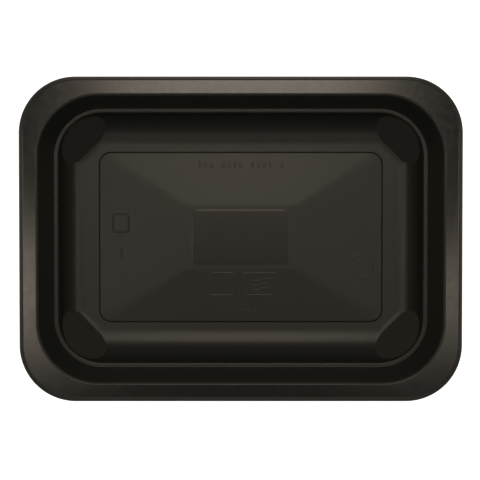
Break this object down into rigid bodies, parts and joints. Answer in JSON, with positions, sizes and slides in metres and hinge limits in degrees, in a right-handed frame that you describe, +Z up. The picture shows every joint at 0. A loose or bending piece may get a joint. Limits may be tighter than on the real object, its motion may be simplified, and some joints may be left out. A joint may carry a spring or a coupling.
{
  "type": "heat-sealable tray",
  "caption": "Shallow rectangular food tray with a flat sealing flange, a stacking ledge, sloping corner pads and a raised hipped floor panel.",
  "frame": {"origin": "middle of the base, on the surface that the tray stands on", "axes": "+X along the length, +Y across the width, +Z up out of the open top"},
  "size_m": [0.187, 0.137, 0.036],
  "materials": {
    "black_polypropylene": "satin, from a lightly etched forming mould"
  },
  "bodies": {
    "root": {"tray": "black_polypropylene"}
  },
  "joints": []
}
